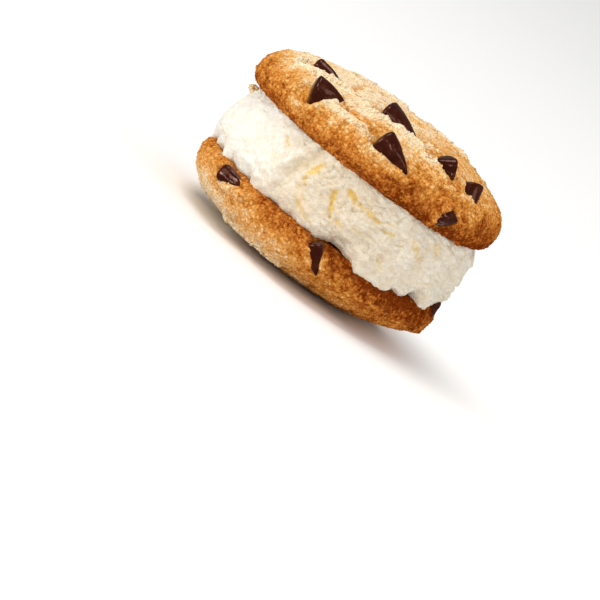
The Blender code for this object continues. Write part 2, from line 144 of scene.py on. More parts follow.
# Small dips and tears in the upper crust: both ends (x, y, height over the widest circle), width, depth
TOP_DIPS = (
    ((-37.2, -12.4, 3.0), (-36.8, -13.8, 1.2), 0.8, 1.0),
    ((-36.3, -15.0, 0.8), (-35.8, -16.0, 0.2), 0.6, 0.9),
    ((-35.2, -17.6, 0.2), (-34.2, -19.0, -1.4), 0.9, 1.0),
    ((-13.4, -2.0, 12.7), (-12.4, 0.0, 12.7), 1.1, 0.6),
    ((-34.2, -9.6, 7.2), (-32.6, -8.4, 8.0), 1.3, 0.6),
    ((8.0, -2.0, 13.3), (11.8, 2.0, 13.3), 0.7, 0.6),
    ((9.4, -24.2, 11.3), (12.4, -25.2, 10.8), 0.8, 0.8),
    ((19.2, -31.6, 5.6), (23.8, -29.4, 4.9), 0.9, 0.7),
    ((-8.0, -31.6, 9.2), (-3.6, -33.4, 8.4), 0.9, 0.6),
    ((14.0, 22.0, 11.6), (18.0, 24.0, 9.6), 0.9, 0.7),
    ((-26.0, 14.0, 10.6), (-22.0, 17.0, 11.0), 0.8, 0.7),
)

# Where the smooth scoop ends in the ice cream's side, as x and z
CREAM_RIDGE = ((-14.1, 15.2), (-16.2, 19.3), (-16.7, 24.2), (-14.8, 29.5), (-12.5, 34.4))
# The ice cream's yellow hollows, their yellow partly its own and partly painted shade: x and z of both ends,
# width, depth
CREAM_HOLLOWS = (
    (-9.6, 31.8, -10.6, 28.0, 0.9, 1.0),
    (-11.1, 26.8, -10.0, 25.4, 0.7, 0.8),
    (-8.2, 20.2, -6.2, 18.9, 0.7, 0.8),
    (-4.3, 18.8, -2.8, 18.0, 0.6, 0.8),
    (-2.1, 28.7, -0.9, 25.7, 0.6, 1.0),
    (-0.9, 25.4, 0.7, 22.3, 0.5, 0.9),
    (0.9, 30.8, 3.8, 30.0, 0.7, 1.0),
    (5.4, 30.0, 7.7, 30.0, 0.5, 0.7),
    (8.5, 29.3, 11.7, 29.3, 0.6, 0.9),
    (10.7, 29.0, 15.7, 30.7, 0.5, 0.5),
    (13.8, 27.7, 17.0, 29.0, 0.5, 0.6),
    (3.1, 22.9, 5.0, 22.4, 0.5, 0.7),
    (6.7, 19.4, 7.8, 18.9, 0.5, 0.7),
    (7.7, 24.4, 9.7, 23.9, 0.5, 0.5),
    (16.9, 21.4, 18.8, 19.4, 0.6, 0.45),
    (22.1, 30.0, 26.5, 26.4, 0.7, 0.6),
    (27.3, 32.5, 29.5, 30.2, 0.8, 0.55),
    (-11.1, 24.1, -8.4, 21.7, 1.3, 0.4),
    (27.0, 20.1, 33.8, 23.0, 0.6, 0.3),
    (-21.8, 31.2, -19.8, 30.4, 0.6, 0.7),
)

# How finely the crusts, the ice cream and the chips are made
CRUST_STEPS, CRUST_DOME_RINGS, CRUST_RIM_RINGS, CRUST_BASE_RINGS = 520, 140, 26, 6
CREAM_STEPS, CREAM_ROWS, CREAM_TUCK_ROWS = 640, 96, 12
CHIP_STEPS, CHIP_ROWS = 48, 30

# Scattered bits: where they lie, how many to a square metre, and the smallest and largest in millimetres
GRAINS = ("grainy", 900000.0, 0.25, 0.6)
CRUMBS = ("crumby", 260000.0, 0.6, 1.2)
LOOSE_CRUMB_SPOT = (-36.3, -4.0, 33.0)
LOOSE_CRUMB_BAKED = 0.15

# Colours of the dough from pale to the darkest edge, and of what is on it; the grain gap shade and the
# hollow colour are painted shade
CRUST_TONES = (
    (0.05, (0.98, 0.82, 0.57)),
    (0.27, (0.93, 0.56, 0.215)),
    (0.50, (0.80, 0.37, 0.078)),
    (0.72, (0.60, 0.21, 0.034)),
    (0.90, (0.39, 0.105, 0.016)),
    (1.00, (0.22, 0.044, 0.005)),
)
GRAIN_GAP_SHADE = (0.66, 0.42, 0.22, 1.0)
DARK_SPECK = (0.34, 0.11, 0.02, 1.0)
HOLLOW_PAINTED_SHADE = (0.66, 0.27, 0.04, 1.0)
VANILLA_WHITE = (0.92, 0.89, 0.795, 1.0)
# Darker beige, for the ice cream's random tone and for its painted shade towards the right
VANILLA_BEIGE_AND_SHADE = (0.72, 0.605, 0.445, 1.0)
VANILLA_YELLOW = (0.82, 0.56, 0.14, 1.0)
CHOCOLATE_DARK = (0.032, 0.005, 0.002, 1.0)
CHOCOLATE_BROWN = (0.060, 0.013, 0.005, 1.0)
FLOOR_PALE = (0.90, 0.90, 0.90, 1.0)
FLOOR_PALER = (0.93, 0.93, 0.925, 1.0)

# The photograph's view
SIGHT_TILT = math.radians(7.0)  # how far the camera looks down on the cookies' plane
CAMERA_ROLL = math.radians(37.7)
CAMERA_DISTANCE = 1.1
IMAGE_SIDE, SENSOR = 600, 36.0
PIXELS_PER_METRE = 3700.0
MIDDLE_IN_IMAGE = (346.2, 191.4)  # pixel of the point midway between the two flat bases

# Soft lights: the way to each along the camera's right, up and ahead, its size, power and colour
LIGHTS = {
    "key": ((-1.0, 0.9, -0.8), 0.65, 14.0, (1.0, 0.98, 0.95)),
    "top": ((0.35, 1.0, -0.35), 1.4, 20.0, (1.0, 0.97, 0.93)),
    "fill": ((1.0, -0.1, -0.7), 1.0, 5.5, (1.0, 0.93, 0.84)),
    "front": ((0.3, -0.05, -1.0), 0.32, 3.2, (1.0, 0.95, 0.88)),
}
LIGHT_DISTANCE = 2.2
SURROUNDINGS, SURROUNDINGS_IN_GLOSS = 0.80, 0.12  # how bright they are, and as the gloss mirrors them
FLOOR_REACH = 8


def smooth(low, high, value):
    """0 at low, 1 at high, and a soft step between."""
    share = min(1.0, max(0.0, (value - low) / (high - low)))
    return share * share * (3 - 2 * share)


def bell(distance, width):
    return math.exp(-((distance / width) ** 2))


def outline(waves, theta):
    return 1 + sum(share * math.cos(count * theta + turn) for count, share, turn in waves)


def wobble(point, size, seed):
    """Smooth noise from -1 to 1 with features of that size."""
    return noise.noise(Vector(point) / size + Vector((seed, 2 * seed, -seed)))


def stroke(spot, start, end):
    """The way from the nearest point of a line between two ends to a spot."""
    along = end - start
    share = min(1.0, max(0.0, (spot - start).dot(along) / along.length_squared))
    return spot - start - along * share


# Forms


def crust_profile(dome, power):
    """(radius, height) from the pole over the dome and the rim to the middle of the flat base, at 0."""
    points = []
    for i in range(CRUST_DOME_RINGS):
        turn = math.pi / 2 * i / CRUST_DOME_RINGS
        across = math.sin(turn) ** (2 / power)
        up = math.cos(turn) ** (2 / power)
        points.append((COOKIE_RADIUS * across, RIM_HEIGHT + dome * up))
    for i in range(CRUST_RIM_RINGS + 1):
        turn = math.pi / 2 * i / CRUST_RIM_RINGS
        radius = COOKIE_RADIUS - BASE_INSET * (1 - math.cos(turn))
        points.append((radius, RIM_HEIGHT * (1 - math.sin(turn))))
    base_radius = COOKIE_RADIUS - BASE_INSET
    for i in range(1, CRUST_BASE_RINGS + 1):
        points.append((base_radius * (1 - i / CRUST_BASE_RINGS), 0.0))
    return points


def crust_frame(shape, x, y, level):
    """A point of the smooth crust and the way out there, in the cookie's own frame."""
    dome, power, lean = shape
    radius = math.hypot(x, y)
    height = 0.0 if level is None else level * MM
    if level is None:
        height = dome * max(0.0, 1 - (radius / COOKIE_RADIUS) ** power) ** (1 / power)
    elif height >= 0:
        radius = COOKIE_RADIUS * (1 - (height / dome) ** power) ** (1 / power)
    else:
        radius = COOKIE_RADIUS - BASE_INSET * (1 - math.sqrt(1 - (height / RIM_HEIGHT) ** 2))
    heading = Vector((x, y, 0)).normalized()
    if height >= 0:
        outward = heading * (radius / COOKIE_RADIUS) ** (power - 1) / COOKIE_RADIUS
        upward = (height / dome) ** (power - 1) / dome
    else:
        outward = heading * (radius - COOKIE_RADIUS + BASE_INSET) / BASE_INSET**2
        upward = height / RIM_HEIGHT**2
    point = heading * radius + Vector((0, 0, RIM_HEIGHT + height))
    point.z += lean * point.x * max(0.0, height / dome)
    return point, (outward + Vector((0, 0, upward))).normalized()


def ledge_step(point, ledge):
    """The S-shaped step of a ledge at a point: up on the rim's side, down on the other."""
    nearest = None
    best = 1.0
    flat = Vector((point.x, point.y))
    for start, end in zip(ledge, ledge[1:]):
        first = Vector(start) * MM
        along = Vector(end) * MM - first
        share = min(1.0, max(0.0, (flat - first).dot(along) / along.length_squared))
        spot = first + along * share
        if (flat - spot).length < best:
            best = (flat - spot).length
            nearest = spot
    if nearest is None or best > 4 * LEDGE_WIDTH:
        return 0.0
    side = math.copysign(best, flat.length - nearest.length)
    raised = bell(side - 0.8 * LEDGE_WIDTH, LEDGE_WIDTH)
    return LEDGE_STEP * (raised - bell(side + 0.7 * LEDGE_WIDTH, LEDGE_WIDTH))


def chip_nest(point, base, tip, width, seed):
    """How the dough lies round a chip: sunk under it, and swollen at the side towards the rim."""
    along = tip - base
    share = min(1.0, max(0.0, (point - base).dot(along) / along.length_squared))
    spot = base + along * share
    away = (point - spot).length - width / 2 * (1 - 0.75 * share)
    if away > 4 * CHIP_LIP_WIDTH:
        return 0.0
    outward = Vector((point.x - spot.x, point.y - spot.y, 0)).normalized()
    facing = 0.5 + 0.5 * outward.dot(Vector((spot.x, spot.y, 0)).normalized())
    ragged = 0.6 + 0.7 * facing + 0.6 * wobble(point, 0.7 * SMALL_LUMP, seed + 31)
    lip = CHIP_LIP_HEIGHT * ragged * facing * bell(away - 0.7 * MM, CHIP_LIP_WIDTH)
    return lip - CHIP_PIT_DEPTH * smooth(0.3 * MM, -1.5 * MM, away)


def crust_relief(point, nests, ledges, seed):
    """Broad relief of the crust as in the solid, and how much of it comes from lips, ledges and cracks."""
    relief = BROAD_HEIGHT * wobble(point, BROAD_LUMP, seed)
    relief += SMALL_HEIGHT * wobble(point, SMALL_LUMP, seed + 7)
    cracked = smooth(0.0, 0.3, wobble(point, 1.4 * CRACK_SPACING, seed + 20))
    cracked *= smooth(36 * MM, 29 * MM, math.hypot(point.x, point.y))
    crack = CRACK_DEPTH * cracked * bell(wobble(point, CRACK_SPACING, seed + 13), CRACK_WIDTH)
    rise = sum(ledge_step(point, ledge) for ledge in ledges)
    rise += sum(chip_nest(point, *nest, seed) for nest in nests)
    return relief - crack + rise, rise - crack


def dip_share(point, dips):
    """How deep in a dip a point of the crust is, from 0 to 1."""
    above = point - Vector((0, 0, RIM_HEIGHT))
    ragged = above + Vector((1, 1, 1)) * 0.4 * MM * wobble(point, 1.5 * MM, 33.0)
    depths = []
    for start, end, width, depth in dips:
        away = stroke(ragged, Vector(start) * MM, Vector(end) * MM).length
        depths.append(depth * bell(away, width * MM))
    return max(depths, default=0.0)


def crust_grain(point, seed):
    """The fine crumbly surface: rounded grains about a millimetre across, with pores between some."""
    spread = noise.voronoi(point / GRAIN_SIZE + Vector((seed, 0, 0)), distance_metric="DISTANCE")[0]
    grain = GRAIN_HEIGHT * (0.5 - spread[0])
    patch = 0.5 + 0.5 * wobble(point, 7 * MM, seed + 41)
    pore = smooth(0.25, 0.55, wobble(point, PORE_SIZE, seed + 43))
    torn = TEAR_HEIGHT * abs(wobble(point, TEAR_SIZE, seed + 47))
    return grain * (0.7 + 0.6 * patch) - PORE_DEPTH * pore * patch + torn


def shell(name, rings, attributes):
    """A closed mesh from rings of points that run downwards. The first and last are single points."""
    points = [point for ring in rings for point in ring]
    faces = []
    steps = len(rings[1])
    start = 1
    for j in range(steps):
        faces.append((0, start + j, start + (j + 1) % steps))
    for _ in range(len(rings) - 3):
        below = start + steps
        for j in range(steps):
            k = (j + 1) % steps
            faces.append((start + j, below + j, below + k, start + k))
        start = below
    last = len(points) - 1
    for j in range(steps):
        faces.append((last, start + (j + 1) % steps, start + j))
    mesh = bpy.data.meshes.new(name)
    mesh.from_pydata(points, [], faces)
    mesh.shade_smooth()
    for title, values in attributes.items():
        layer = mesh.attributes.new(title, "FLOAT", "POINT")
        layer.data.foreach_set("value", values)
    made = bpy.data.objects.new(name, mesh)
    bpy.context.scene.collection.objects.link(made)
    return made


def crust_browning_and_shade(level, along, rise, point, seed, upper):
    """How brown the crust is, from 0, pale dough, to 1, the dark edge by the ice cream, with painted
    light and shade mixed in: paler on raised lips and ledges, darker in sunk cracks and pits, and darker
    towards +X partly as painted shade.

    level is the height over the widest circle and along the distance towards +X, the darker end, both in
    millimetres.
    """
    if upper:
        baked = 0.07 + 0.50 * smooth(11.0, 1.0, level) + 0.26 * smooth(0.5, -3.0, level)
        # Darker towards +X, partly browning and partly painted shade, and browner at the left end.
        baked += 0.32 * smooth(-14.0, 30.0, along) + 0.10 * bell(along + 36.0, 10.0)
    else:
        baked = 0.13 + 0.34 * smooth(8.0, 0.5, level) + 0.24 * smooth(1.5, -3.0, level)
        # Darker towards +X, partly browning and partly painted shade.
        baked += 0.55 * smooth(-36.0, 40.0, along)
    baked += 0.16 * wobble(point, 9 * MM, seed + 51) + 0.10 * wobble(point, 3 * MM, seed + 53)
    # Paler on raised lips and ledges and darker in sunk cracks and pits: painted light and painted shade.
    return baked - 0.22 * smooth(0.1, 1.0, rise / MM) + 0.20 * smooth(-0.1, -0.8, rise / MM)


def crust(name, shape, waves, nests, ledges, dips, seed, placed, floor=None):
    """A cookie's crust, placed in the sandwich. The lower one is cut flat at a floor where it rests."""
    dome, power, lean = shape
    profile = crust_profile(dome, power)
    upper = floor is None
    rings, baked, hollow, grainy, crumby = [], [], [], [], []
    for i, (radius, height) in enumerate(profile):
        before = profile[max(0, i - 1)]
        after = profile[min(len(profile) - 1, i + 1)]
        run, drop = after[0] - before[0], before[1] - after[1]
        length = math.hypot(run, drop)
        on_base = height < 0.01 * MM and radius < COOKIE_RADIUS - BASE_INSET + 0.01 * MM
        pole = i in (0, len(profile) - 1)
        ring = []
        for j in range(1 if pole else CRUST_STEPS):
            theta = 2 * math.pi * j / CRUST_STEPS
            heading = Vector((math.cos(theta), math.sin(theta), 0))
            point = heading * radius + Vector((0, 0, height))
            normal = heading * (drop / length) + Vector((0, 0, run / length))
            relief, rise = (0.0, 0.0) if on_base else crust_relief(point, nests, ledges, seed)
            plateau = smooth(4.0, 11.0, (height - RIM_HEIGHT) / MM)
            fine = 0.0 if on_base else crust_grain(point, seed) * (1 - 0.4 * plateau)
            dip = dip_share(point, dips)
            fine -= DIP_DEPTH * dip
            if floor is not None:
                relief *= smooth(12 * MM, CALM_RADIUS, radius)
                fine *= smooth(11 * MM, 14 * MM, radius)
                fine -= 0.1 * MM * smooth(12 * MM, BARE_RADIUS, radius)
            spread = 1 + (outline(waves, theta) - 1) * smooth(0.0, COOKIE_RADIUS, radius)
            leaning = lean * point.x * max(0.0, (height - RIM_HEIGHT) / dome)
            place = Vector((point.x * spread, point.y * spread, point.z + leaning))
            place += normal * (relief + fine)
            if not on_base:
                place.z = max(0.05 * MM, place.z)
            if floor is not None:
                place.z = min(place.z, floor)
            ring.append(placed @ place)
            level = (height - RIM_HEIGHT) / MM
            # Dips are darkened as painted shade, and hollow marks dips, cracks and chip pits for the painted
            # shade of the finish.
            baked.append(crust_browning_and_shade(level, point.x / MM, rise, point, seed, upper) + DIP_SHADE * dip)
            hollow.append(1.2 * dip - rise / MM)
            bare = on_base or (floor and radius < BARE_RADIUS)
            grainy.append(0.0 if bare else 1 - 0.75 * plateau)
            crumby.append(0.0 if bare else 0.04 + smooth(0.25, 1.0, rise / MM))
        rings.append(ring)
    return shell(name, rings, {"baked": baked, "hollow": hollow, "grainy": grainy, "crumby": crumby})


def lip_share(theta):
    """How strongly the ice cream is squeezed out over the lower cookie there, from 0 to 1."""
    around = Vector((math.cos(theta), math.sin(theta), 0)) * COOKIE_RADIUS
    broad = 0.55 + 0.9 * wobble(around, 13 * MM, 3.0)
    small = 0.6 * wobble(around, 4.6 * MM, 8.0)
    return min(1.0, max(0.0, broad + small))


def cream_marks(point):
    """The step at the end of the smooth scoop, and how deep in a yellow hollow a point of the side is."""
    flat = Vector((point.x, point.z)) if point.y < 0 else Vector((-point.x, point.z))
    flat += Vector((wobble(point, 1.8 * MM, 91.0), wobble(point, 1.8 * MM, 97.0))) * 0.9 * MM
    best = 1.0
    for start, end in zip(CREAM_RIDGE, CREAM_RIDGE[1:]):
        start, end = Vector(start) * MM, Vector(end) * MM
        away = stroke(flat, start, end)
        if away.length < abs(best):
            best = math.copysign(away.length, (end - start).cross(away))
    step = SCOOP_STEP_UP * bell(best - 1.2 * MM, SCOOP_STEP_WIDTH)
    step -= SCOOP_STEP_DOWN * bell(best + 1.0 * MM, SCOOP_STEP_WIDTH)
    # The hollow beside the step is also yellowed in the finish, partly as painted shade.
    hollow = 0.28 * bell(best + 1.6 * MM, 1.7 * MM)
    for x, z, other_x, other_z, width, depth in CREAM_HOLLOWS:
        away = stroke(flat, Vector((x, z)) * MM, Vector((other_x, other_z)) * MM).length
        hollow = max(hollow, depth * bell(away, 1.1 * width * MM))
    return step, hollow


def cream_relief(point):
    """How far the ice cream's side stands out from the smooth bulge, and how yellow it is there, partly as
    painted shade.
    """
    leaning = Vector((point.x + 0.5 * point.z, point.y, 1.5 * point.z - 0.4 * point.x))
    bent = leaning + Vector((1, 1, 1)) * 2.5 * MM * wobble(point, 12 * MM, 5.0)
    calm = 1 - 0.55 * smooth(-8 * MM, -30 * MM, point.x)
    relief = FOLD_HEIGHT * (1.9 * abs(wobble(bent, FOLD_SIZE, 11.0)) - 0.5) * calm
    relief += CRAG_HEIGHT * wobble(leaning, CRAG_SIZE, 17.0)
    swell = LEFT_SWELL * bell(point.z - BOTTOM_BASE - LEFT_SWELL_LEVEL, LEFT_SWELL_SPAN)
    relief += (swell - LEFT_INSET) * smooth(0.0, -34 * MM, point.x)
    level = point.z + 0.12 * point.x + 1.2 * MM * wobble(point, 7 * MM, 83.0)
    lines = wobble(Vector((point.x / 4, point.y / 4, level)), DRAWN_SIZE, 23.0)
    combed = smooth(-12 * MM, 8 * MM, point.x)
    relief += combed * DRAWN_HEIGHT * (abs(lines) - 0.3)
    ragged = point + Vector((1, 1, 1)) * 0.8 * MM * wobble(point, 2 * MM, 85.0)
    torn = abs(wobble(ragged, TORN_SIZE, 27.0))
    relief += (0.35 + 0.65 * calm) * (1 - 0.5 * combed) * TORN_HEIGHT * (torn - 0.25)
    rough = (0.14 + 0.16 * calm) * MM * wobble(point, 1.3 * MM, 29.0)
    relief += rough + 0.18 * MM * wobble(point, 0.7 * MM, 37.0)
    step, hollow = cream_marks(point)
    pit = smooth(0.10, 0.02, torn) * smooth(0.15, 0.45, wobble(point, 5 * MM, 67.0)) * calm
    # Pits are yellowed too, as painted shade.
    return relief + step - HOLLOW_DEPTH * hollow - PIT_DEPTH * pit, min(1.0, hollow + 0.35 * pit)


def cream_radius(height):
    """Radius of the smooth bulge at a height over the lower cookie's base."""
    low, high = -FILLING_TUCK, FILLING_HEIGHT + FILLING_TUCK
    share = (height - low) / (high - low)
    ends = FILLING_TOP_RADIUS if share > 0.5 else FILLING_LOW_RADIUS
    return FILLING_MID_RADIUS - (FILLING_MID_RADIUS - ends) * abs(2 * share - 1) ** FILLING_BULGE_POWER


def vanilla(name):
    """The ice cream: a bulging torn side, with a ragged lip that curls in over the lower cookie."""
    top = FILLING_HEIGHT + CREAM_SINK
    angles = [2 * math.pi * j / CREAM_STEPS for j in range(CREAM_STEPS)]
    cap_radius, cap_height = 0.9 * FILLING_TOP_RADIUS, TOP_BASE + CREAM_SINK
    rings = [[Vector((0, 0, cap_height))]]
    rings.append([Vector((cap_radius * math.cos(a), cap_radius * math.sin(a), cap_height)) for a in angles])
    pockets = [0.0] * (CREAM_STEPS + 1)
    hangs = []
    for theta in angles:
        around = Vector((math.cos(theta), math.sin(theta), 0)) * COOKIE_RADIUS
        ragged = LIP_RAGGED * wobble(around, 1.3 * MM, 71.0)
        hangs.append(-LIP_RAISED + LIP_HANG * lip_share(theta) ** 1.5 + ragged)
    for i in range(CREAM_ROWS + 1):
        share = i / CREAM_ROWS
        edge = smooth(0.75, 1.0, share)
        curl = LIP_CURL * smooth(0.93, 1.0, share)
        ring = []
        for theta, hang in zip(angles, hangs):
            height = top + (-hang - top) * share
            radius = cream_radius(max(0.0, height))
            heading = Vector((math.cos(theta), math.sin(theta), 0))
            point = heading * radius + Vector((0, 0, BOTTOM_BASE + height))
            relief, pocket = cream_relief(point)
            lip = LIP_REACH * lip_share(theta) * bell(height + 0.2 * MM, LIP_SPAN)
            inset = LIP_INSET * (1 - lip_share(theta)) * edge
            grown = radius + relief * (1 - 0.5 * edge) + lip - inset - curl
            ring.append(heading * grown + Vector((0, 0, BOTTOM_BASE + height)))
            pockets.append(pocket * (1 - edge))
        rings.append(ring)
    foot = rings[-1]
    for i in range(1, CREAM_TUCK_ROWS + 1):
        share = i / CREAM_TUCK_ROWS
        rise = TUCK_RISE * math.sin(share * math.pi / 2)
        sag = TUCK_SAG * math.sin(share * math.pi)
        ring = []
        for last in foot:
            inward = Vector((last.x, last.y, 0)) * (1 - TUCK_SHARE * share)
            ring.append(Vector((inward.x, inward.y, last.z + rise - sag)))
            pockets.append(0.0)
        rings.append(ring)
    rings.append([Vector((0, 0, BOTTOM_BASE - 0.3 * MM))])
    pockets.append(0.0)
    # Painted shade: darker beige from the left end towards the right, eased again at the right end.
    warmth = []
    for ring in rings:
        for point in ring:
            shade_eased_at_right = 0.32 * smooth(2 * MM, 34 * MM, point.x)
            warmth.append(smooth(-30 * MM, -8 * MM, point.x) - shade_eased_at_right)
    return shell(name, rings, {"pocket": pockets, "warmth": warmth})


def chip_seat(spot, shape, placed):
    """Base and tip of a chip in the sandwich."""
    x, y, level, sunk, pointing, length, *_ = spot
    turned_over = placed.to_3x3()[2][2] < 0
    point, outward = crust_frame(shape, x * MM, (-y if turned_over else y) * MM, level)
    middle = placed @ (point - outward * sunk * MM)
    half = Vector(pointing).normalized() * length * MM / 2
    return middle - half, middle + half


def nests_of(spots, shape, placed):
    """Base, tip and width of each chip in the cookie's own frame."""
    home = placed.inverted()
    return [(*(home @ end for end in chip_seat(spot, shape, placed)), spot[6] * MM) for spot in spots]


def chip(name, spot, shape, placed, seed):
    """A chocolate chip: nearly flat round base, soft corners, drawn-out blunt tip, and small dents."""
    *_, length, width, corners, turn = spot
    length, width = length * MM, width * MM
    base, tip = chip_seat(spot, shape, placed)
    lean = Vector((0, 0, 1)).rotation_difference(tip - base).to_matrix()
    rings = []
    for i in range(CHIP_ROWS + 1):
        share = 0.5 + 0.5 * math.cos(math.pi * i / CHIP_ROWS)
        rounded = math.sqrt(max(0.0, 1 - (1 - min(1.0, share / CHIP_ROUNDING)) ** 2))
        taper = (1 - share**CHIP_TAPER) ** CHIP_FULLNESS if share < 1 else 0.0
        ring = []
        for j in range(1 if i in (0, CHIP_ROWS) else CHIP_STEPS):
            theta = 2 * math.pi * j / CHIP_STEPS
            corner = 1 + CHIP_CORNER * math.cos(corners * theta + math.radians(turn))
            radius = width / 2 * rounded * taper * corner * CHIP_GIRTH
            point = Vector((radius * math.cos(theta), radius * math.sin(theta), length * share))
            dents = BROAD_DENT_DEPTH * wobble(point, BROAD_DENT, seed)
            dents += SMALL_DENT_DEPTH * wobble(point, SMALL_DENT, seed + 5)
            hub = Vector((0, 0, length * min(0.8, max(0.12, share))))
            point += (point - hub).normalized() * dents
            ring.append(base + lean @ point)
        rings.append(ring)
    return shell(name, rings, {})


# Crumbs and grains, scattered over a surface


def scatter_tree():
    """Scatters a grain over a surface as often as one of its attributes says, in mixed sizes and turns."""
    tree = bpy.data.node_groups.new("scatter", "GeometryNodeTree")
    kinds = (
        ("Surface", "NodeSocketGeometry"),
        ("Grain", "NodeSocketObject"),
        ("Where", "NodeSocketString"),
        ("Per square metre", "NodeSocketFloat"),
        ("Smallest", "NodeSocketFloat"),
        ("Largest", "NodeSocketFloat"),
        ("Seed", "NodeSocketInt"),
        ("Finish", "NodeSocketMaterial"),
    )
    sockets = {}
    for title, kind in kinds:
        sockets[title] = tree.interface.new_socket(title, in_out="INPUT", socket_type=kind)
    tree.interface.new_socket("Grains", in_out="OUTPUT", socket_type="NodeSocketGeometry")
    nodes, links = tree.nodes, tree.links
    given = nodes.new("NodeGroupInput")
    often = nodes.new("GeometryNodeInputNamedAttribute")
    links.new(given.outputs["Where"], often.inputs["Name"])
    density = nodes.new("ShaderNodeMath")
    density.operation = "MULTIPLY"
    links.new(often.outputs["Attribute"], density.inputs[0])
    links.new(given.outputs["Per square metre"], density.inputs[1])
    spots = nodes.new("GeometryNodeDistributePointsOnFaces")
    links.new(given.outputs["Surface"], spots.inputs["Mesh"])
    links.new(density.outputs[0], spots.inputs["Density"])
    links.new(given.outputs["Seed"], spots.inputs["Seed"])
    size = nodes.new("FunctionNodeRandomValue")
    links.new(given.outputs["Smallest"], size.inputs[2])
    links.new(given.outputs["Largest"], size.inputs[3])
    links.new(given.outputs["Seed"], size.inputs["Seed"])
    turn = nodes.new("FunctionNodeRandomValue")
    turn.data_type = "FLOAT_VECTOR"
    turn.inputs[1].default_value = (math.tau, math.tau, math.tau)
    source = nodes.new("GeometryNodeObjectInfo")
    links.new(given.outputs["Grain"], source.inputs["Object"])
    placed = nodes.new("GeometryNodeInstanceOnPoints")
    links.new(spots.outputs["Points"], placed.inputs["Points"])
    links.new(source.outputs["Geometry"], placed.inputs["Instance"])
    links.new(turn.outputs[0], placed.inputs["Rotation"])
    links.new(size.outputs[1], placed.inputs["Scale"])
    real = nodes.new("GeometryNodeRealizeInstances")
    links.new(placed.outputs["Instances"], real.inputs["Geometry"])
    painted = nodes.new("GeometryNodeSetMaterial")
    links.new(real.outputs["Geometry"], painted.inputs["Geometry"])
    links.new(given.outputs["Finish"], painted.inputs["Material"])
    result = nodes.new("NodeGroupOutput")
    links.new(painted.outputs["Geometry"], result.inputs["Grains"])
    return tree, {title: socket.identifier for title, socket in sockets.items()}


def scattered(name, surface, tree, sockets, **values):
    """Runs the scatter on a surface and keeps the grains alone as a plain mesh."""
    host = bpy.data.objects.new(name + "_host", surface.data)
    bpy.context.scene.collection.objects.link(host)
    modifier = host.modifiers.new("Scatter", "NODES")
    modifier.node_group = tree
    for title, value in values.items():
        modifier[sockets[title.replace("_", " ")]] = value
    graph = bpy.context.evaluated_depsgraph_get()
    mesh = bpy.data.meshes.new_from_object(host.evaluated_get(graph))
    mesh.name = name
    made = bpy.data.objects.new(name, mesh)
    bpy.context.scene.collection.objects.link(made)
    bpy.data.objects.remove(host)
    return made


def rough_grain(name, seed):
    """One angular crumb, a unit across, to be scattered."""
    bpy.ops.mesh.primitive_ico_sphere_add(subdivisions=1, radius=0.5)
    made = bpy.context.object
    made.name = name
    for vertex in made.data.vertices:
        vertex.co *= 1 + 0.45 * noise.noise(vertex.co * 3 + Vector((seed, 0, 0)))
        vertex.co.z *= 0.8
    return made


def loose_crumb(name, spot):
    """A crumb of dough caught between the ice cream and the upper cookie."""
    bpy.ops.mesh.primitive_ico_sphere_add(subdivisions=5, radius=1.0)
    made = bpy.context.object
    made.name = name
    for vertex in made.data.vertices:
        lumps = 1 + 0.35 * noise.noise(vertex.co * 1.4) + 0.18 * noise.noise(vertex.co * 4.0)
        vertex.co = spot + Vector((vertex.co.x * 1.6, vertex.co.y * 1.5, vertex.co.z * 1.2)) * lumps * MM
    baked = made.data.attributes.new("baked", "FLOAT", "POINT")
    baked.data.foreach_set("value", [LOOSE_CRUMB_BAKED] * len(made.data.vertices))
    made.data.shade_smooth()
    return made


# Finishes


class Value:
    """A node's output that can be used in sums."""

    def __init__(self, finish, socket):
        self.finish = finish
        self.socket = socket

    def _sum(self, operation, first, second):
        return self.finish.node("ShaderNodeMath", {"operation": operation}, {0: first, 1: second})

    def __add__(self, other):
        return self._sum("ADD", self, other)

    def __radd__(self, other):
        return self._sum("ADD", other, self)

    def __sub__(self, other):
        return self._sum("SUBTRACT", self, other)

    def __rsub__(self, other):
        return self._sum("SUBTRACT", other, self)

    def __mul__(self, other):
        return self._sum("MULTIPLY", self, other)

    def __rmul__(self, other):
        return self._sum("MULTIPLY", other, self)


